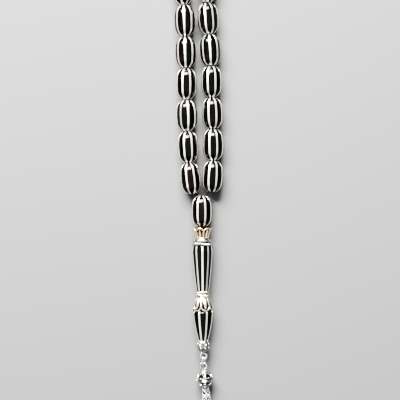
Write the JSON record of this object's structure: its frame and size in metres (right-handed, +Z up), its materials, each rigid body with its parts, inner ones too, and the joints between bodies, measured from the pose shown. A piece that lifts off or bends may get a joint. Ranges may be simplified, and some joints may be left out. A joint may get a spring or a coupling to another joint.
{
  "type": "misbaha prayer beads",
  "caption": "Loop of black barrel beads with silver inlay on one thread, closed by a long inlaid separator and a silver chain tassel; lies flat.",
  "frame": {"origin": "on the surface that the string lies on, under the centre of its box", "axes": "+Z up off the surface, +Y along the string towards the loop, -Y towards the tassel, +X to the right seen from above"},
  "size_m": [0.0692, 0.3174, 0.008],
  "materials": {
    "black_stone": "polished black, faint brown depth, with bright silver strips let in",
    "silver_inlay": "polished silver strip",
    "old_silver": "bright silver, darkened in the hollows",
    "pale_gold": "pale gold over silver, darkened in the hollows",
    "black_thread": "twisted waxed cord"
  },
  "bodies": {
    "string": {"thread": "black_thread", "thread_knot": "black_thread"},
    "bead_01": {"bead_01": "black_stone"},
    "bead_02": {"bead_02": "black_stone"},
    "bead_03": {"bead_03": "black_stone"},
    "bead_04": {"bead_04": "black_stone"},
    "bead_05": {"bead_05": "black_stone"},
    "bead_06": {"bead_06": "black_stone"},
    "bead_07": {"bead_07": "black_stone"},
    "bead_08": {"bead_08": "black_stone"},
    "bead_09": {"bead_09": "black_stone"},
    "bead_10": {"bead_10": "black_stone"},
    "bead_11": {"bead_11": "black_stone"},
    "bead_12": {"bead_12": "black_stone"},
    "bead_13": {"bead_13": "black_stone"},
    "bead_14": {"bead_14": "black_stone"},
    "bead_15": {"bead_15": "black_stone"},
    "bead_16": {"bead_16": "black_stone"},
    "bead_17": {"bead_17": "black_stone"},
    "bead_18": {"bead_18": "black_stone"},
    "bead_19": {"bead_19": "black_stone"},
    "bead_20": {"bead_20": "black_stone"},
    "bead_21": {"bead_21": "black_stone"},
    "bead_22": {"bead_22": "black_stone"},
    "bead_23": {"bead_23": "black_stone"},
    "bead_24": {"bead_24": "black_stone"},
    "bead_25": {"bead_25": "black_stone"},
    "bead_26": {"bead_26": "black_stone"},
    "bead_27": {"bead_27": "black_stone"},
    "bead_28": {"bead_28": "black_stone"},
    "bead_29": {"bead_29": "black_stone"},
    "bead_30": {"bead_30": "black_stone"},
    "bead_31": {"bead_31": "black_stone"},
    "bead_32": {"bead_32": "black_stone"},
    "bead_33": {"bead_33": "black_stone"},
    "neck_bead": {"neck_bead": "black_stone"},
    "marker_1": {"marker_1": "black_stone"},
    "marker_2": {"marker_2": "black_stone"},
    "imame": {"imame_crown": "pale_gold", "imame_collar_ring": "old_silver", "imame_upper_barrel": "black_stone", "imame_waist_ring": "old_silver", "imame_calyx": "old_silver", "imame_lower_barrel": "black_stone", "imame_tip_ball": "old_silver"},
    "tip_eye": {"tip_eye_pin": "old_silver"},
    "link": {"tassel_link": "old_silver"},
    "tassel": {"tassel_eye_pin": "old_silver", "chain_hanger": "old_silver"},
    "ball": {"tassel_ball": "old_silver"},
    "cap": {"tassel_cap": "old_silver"},
    "chain_1": {"tassel_chain_1": "old_silver"},
    "chain_2": {"tassel_chain_2": "old_silver"},
    "chain_3": {"tassel_chain_3": "old_silver"},
    "chain_4": {"tassel_chain_4": "old_silver"},
    "chain_5": {"tassel_chain_5": "old_silver"}
  },
  "joints": [
    {"name": "count_bead_slide", "type": "slide", "parent": "string", "child": "bead_22", "axis": [-0.2588, -0.9659, 0], "range_m": [0, 0.0155]},
    {"name": "imame_turn", "type": "hinge", "parent": "string", "child": "imame", "pos_m": [0.00511, -0.05212, 0.00402], "axis": [-0.0115, 0.9999, 0], "continuous": true},
    {"name": "link_swing", "type": "hinge", "parent": "tip_eye", "child": "link", "pos_m": [0.0057, -0.10277, 0.00402], "axis": [-0.9999, -0.0115, 0], "range_deg": [0, 60]},
    {"name": "tassel_swing", "type": "hinge", "parent": "link", "child": "tassel", "pos_m": [0.00573, -0.10541, 0.0034], "axis": [0, 0, 1], "range_deg": [-35, 35]},
    {"name": "tassel_ball_spin", "type": "hinge", "parent": "tassel", "child": "ball", "pos_m": [0.00574, -0.1056, 0.0034], "axis": [-0.0872, 0.9962, 0], "continuous": true},
    {"name": "tassel_cap_spin", "type": "hinge", "parent": "tassel", "child": "cap", "pos_m": [0.00574, -0.1056, 0.0034], "axis": [-0.0872, 0.9962, 0], "continuous": true},
    {"name": "tassel_chain_1_swing", "type": "hinge", "parent": "tassel", "child": "chain_1", "pos_m": [0.00767, -0.12762, 0.0053], "axis": [-0.9962, -0.0872, 0], "range_deg": [0, 40]},
    {"name": "tassel_chain_2_swing", "type": "hinge", "parent": "tassel", "child": "chain_2", "pos_m": [0.00947, -0.12746, 0.00399], "axis": [-0.2923, -0.1684, 0.9414], "range_deg": [0, 40]},
    {"name": "tassel_chain_3_swing", "type": "hinge", "parent": "tassel", "child": "chain_3", "pos_m": [0.00878, -0.12752, 0.00186], "axis": [0.7989, 0.1324, 0.5866], "range_deg": [0, 40]},
    {"name": "tassel_chain_4_swing", "type": "hinge", "parent": "tassel", "child": "chain_4", "pos_m": [0.00656, -0.12771, 0.00186], "axis": [0.8098, 0.0083, -0.5866], "range_deg": [0, 40]},
    {"name": "tassel_chain_5_swing", "type": "hinge", "parent": "tassel", "child": "chain_5", "pos_m": [0.00587, -0.12777, 0.00399], "axis": [-0.3171, 0.1151, -0.9414], "range_deg": [0, 40]},
    {"name": "tip_eye_swivel", "type": "hinge", "parent": "imame", "child": "tip_eye", "pos_m": [0.00511, -0.05212, 0.00402], "axis": [-0.0115, 0.9999, 0], "continuous": true},
    {"name": "turn_bead_01", "type": "hinge", "parent": "string", "child": "bead_01", "pos_m": [0.00063, -0.03296, 0.00402], "axis": [-0.1115, 0.9938, 0], "continuous": true},
    {"name": "turn_bead_02", "type": "hinge", "parent": "string", "child": "bead_02", "pos_m": [-0.00031, -0.0208, 0.00402], "axis": [-0.0436, 0.999, 0], "continuous": true},
    {"name": "turn_bead_03", "type": "hinge", "parent": "string", "child": "bead_03", "pos_m": [-0.00074, -0.00861, 0.00402], "axis": [-0.0262, 0.9997, 0], "continuous": true},
    {"name": "turn_bead_04", "type": "hinge", "parent": "string", "child": "bead_04", "pos_m": [-0.00095, 0.00359, 0.00402], "axis": [-0.0087, 1, 0], "continuous": true},
    {"name": "turn_bead_05", "type": "hinge", "parent": "string", "child": "bead_05", "pos_m": [-0.00117, 0.01579, 0.00402], "axis": [-0.0262, 0.9997, 0], "continuous": true},
    {"name": "turn_bead_06", "type": "hinge", "parent": "string", "child": "bead_06", "pos_m": [-0.00154, 0.02798, 0.00402], "axis": [-0.0349, 0.9994, 0], "continuous": true},
    {"name": "turn_bead_07", "type": "hinge", "parent": "string", "child": "bead_07", "pos_m": [-0.0026, 0.04016, 0.00402], "axis": [-0.1392, 0.9903, 0], "continuous": true},
    {"name": "turn_bead_08", "type": "hinge", "parent": "string", "child": "bead_08", "pos_m": [-0.00526, 0.05216, 0.00402], "axis": [-0.2924, 0.9563, 0], "continuous": true},
    {"name": "turn_bead_09", "type": "hinge", "parent": "string", "child": "bead_09", "pos_m": [-0.00955, 0.06363, 0.00402], "axis": [-0.4067, 0.9135, 0], "continuous": true},
    {"name": "turn_bead_10", "type": "hinge", "parent": "string", "child": "bead_10", "pos_m": [-0.01461, 0.07473, 0.00402], "axis": [-0.4226, 0.9063, 0], "continuous": true},
    {"name": "turn_bead_11", "type": "hinge", "parent": "string", "child": "bead_11", "pos_m": [-0.01977, 0.08578, 0.00402], "axis": [-0.4226, 0.9063, 0], "continuous": true},
    {"name": "turn_bead_12", "type": "hinge", "parent": "string", "child": "bead_12", "pos_m": [-0.02612, 0.09992, 0.00402], "axis": [-0.3907, 0.9205, 0], "continuous": true},
    {"name": "turn_bead_13", "type": "hinge", "parent": "string", "child": "bead_13", "pos_m": [-0.02983, 0.11168, 0.00402], "axis": [-0.2079, 0.9781, 0], "continuous": true},
    {"name": "turn_bead_14", "type": "hinge", "parent": "string", "child": "bead_14", "pos_m": [-0.03048, 0.12411, 0.00402], "axis": [0.1045, 0.9945, 0], "continuous": true},
    {"name": "turn_bead_15", "type": "hinge", "parent": "string", "child": "bead_15", "pos_m": [-0.02683, 0.13605, 0.00402], "axis": [0.4695, 0.8829, 0], "continuous": true},
    {"name": "turn_bead_16", "type": "hinge", "parent": "string", "child": "bead_16", "pos_m": [-0.01888, 0.1457, 0.00402], "axis": [0.7771, 0.6293, 0], "continuous": true},
    {"name": "turn_bead_17", "type": "hinge", "parent": "string", "child": "bead_17", "pos_m": [-0.00791, 0.15246, 0.00402], "axis": [0.9112, 0.412, 0], "continuous": true},
    {"name": "turn_bead_18", "type": "hinge", "parent": "string", "child": "bead_18", "pos_m": [0.0045, 0.15462, 0.00402], "axis": [-0.9968, 0.0798, 0], "continuous": true},
    {"name": "turn_bead_19", "type": "hinge", "parent": "string", "child": "bead_19", "pos_m": [0.0166, 0.15085, 0.00402], "axis": [-0.866, 0.5, 0], "continuous": true},
    {"name": "turn_bead_20", "type": "hinge", "parent": "string", "child": "bead_20", "pos_m": [0.02576, 0.14231, 0.00402], "axis": [-0.5592, 0.829, 0], "continuous": true},
    {"name": "turn_bead_21", "type": "hinge", "parent": "string", "child": "bead_21", "pos_m": [0.03035, 0.13067, 0.00402], "axis": [-0.1564, 0.9877, 0], "continuous": true},
    {"name": "turn_bead_23", "type": "hinge", "parent": "string", "child": "bead_23", "pos_m": [0.02154, 0.08776, 0.00402], "axis": [0.2588, 0.9659, 0], "continuous": true},
    {"name": "turn_bead_24", "type": "hinge", "parent": "string", "child": "bead_24", "pos_m": [0.01744, 0.07617, 0.00402], "axis": [0.4067, 0.9135, 0], "continuous": true},
    {"name": "turn_bead_25", "type": "hinge", "parent": "string", "child": "bead_25", "pos_m": [0.01267, 0.06494, 0.00402], "axis": [0.3746, 0.9272, 0], "continuous": true},
    {"name": "turn_bead_26", "type": "hinge", "parent": "string", "child": "bead_26", "pos_m": [0.00888, 0.05327, 0.00402], "axis": [0.2419, 0.9703, 0], "continuous": true},
    {"name": "turn_bead_27", "type": "hinge", "parent": "string", "child": "bead_27", "pos_m": [0.00716, 0.04104, 0.00402], "axis": [0.0349, 0.9994, 0], "continuous": true},
    {"name": "turn_bead_28", "type": "hinge", "parent": "string", "child": "bead_28", "pos_m": [0.00743, 0.02881, 0.00402], "axis": [-0.0785, 0.9969, 0], "continuous": true},
    {"name": "turn_bead_29", "type": "hinge", "parent": "string", "child": "bead_29", "pos_m": [0.00828, 0.01664, 0.00402], "axis": [-0.061, 0.9981, 0], "continuous": true},
    {"name": "turn_bead_30", "type": "hinge", "parent": "string", "child": "bead_30", "pos_m": [0.00876, 0.00446, 0.00402], "axis": [-0.0175, 0.9998, 0], "continuous": true},
    {"name": "turn_bead_31", "type": "hinge", "parent": "string", "child": "bead_31", "pos_m": [0.00908, -0.00774, 0.00402], "axis": [-0.0349, 0.9994, 0], "continuous": true},
    {"name": "turn_bead_32", "type": "hinge", "parent": "string", "child": "bead_32", "pos_m": [0.0094, -0.01993, 0.00402], "axis": [-0.0175, 0.9998, 0], "continuous": true},
    {"name": "turn_bead_33", "type": "hinge", "parent": "string", "child": "bead_33", "pos_m": [0.00918, -0.03213, 0.00402], "axis": [0.0523, 0.9986, 0], "continuous": true},
    {"name": "turn_neck_bead", "type": "hinge", "parent": "string", "child": "neck_bead", "pos_m": [0.00504, -0.04562, 0.00402], "axis": [-0.0115, 0.9999, 0], "continuous": true},
    {"name": "turn_marker_1", "type": "hinge", "parent": "string", "child": "marker_1", "pos_m": [-0.02304, 0.09281, 0.00402], "axis": [-0.4226, 0.9063, 0], "continuous": true},
    {"name": "turn_marker_2", "type": "hinge", "parent": "string", "child": "marker_2", "pos_m": [0.02355, 0.09524, 0.00402], "axis": [0.2588, 0.9659, 0], "continuous": true}
  ]
}
